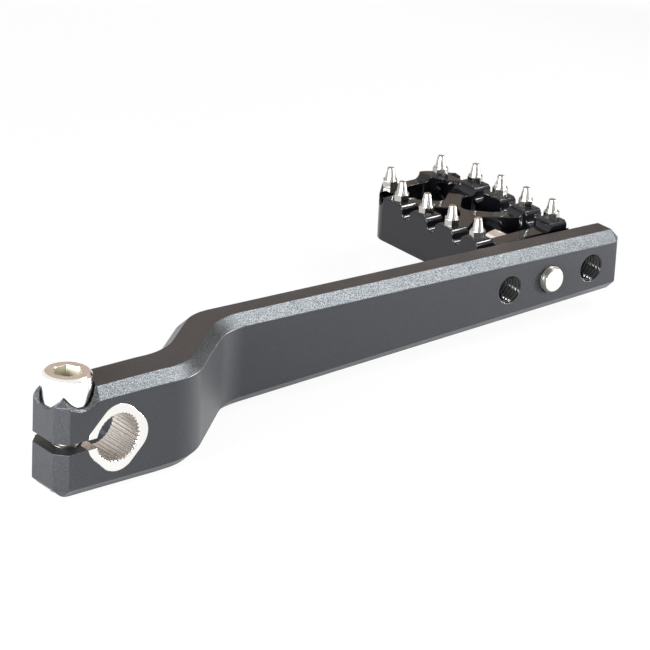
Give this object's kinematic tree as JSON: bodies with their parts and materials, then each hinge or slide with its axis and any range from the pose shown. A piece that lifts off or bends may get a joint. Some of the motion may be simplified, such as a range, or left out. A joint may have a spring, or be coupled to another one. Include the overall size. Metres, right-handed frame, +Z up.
{
  "type": "motorcycle gear shift lever",
  "caption": "Offset motorcycle gear shift lever with a splined pinch clamp at one end and an open pegged toe rest on three possible holes at the other",
  "frame": {"origin": "centre of the splined bore, halfway through the thickness of the clamp", "axes": "+X along the lever to the toe end, +Y along the bore to the side that the toe peg stands on, +Z up in use, towards the head of the pinch bolt"},
  "size_m": [0.2127, 0.0888, 0.0328],
  "materials": {
    "arm": "black anodised, fine machined texture, bevels bright",
    "peg": "black anodised, glossy",
    "insert": "bare machined steel",
    "screws": "polished zinc plate",
    "pins": "bright turned steel"
  },
  "bodies": {
    "root": {"lever_arm": "arm", "splined_insert": "insert", "pinch_bolt": "screws", "peg_bolt": "screws", "toe_peg_frame": "peg", "traction_pin_01": "pins", "traction_pin_02": "pins", "traction_pin_03": "pins", "traction_pin_04": "pins", "traction_pin_05": "pins", "traction_pin_06": "pins", "traction_pin_07": "pins", "traction_pin_08": "pins", "traction_pin_09": "pins", "traction_pin_10": "pins"}
  },
  "joints": []
}
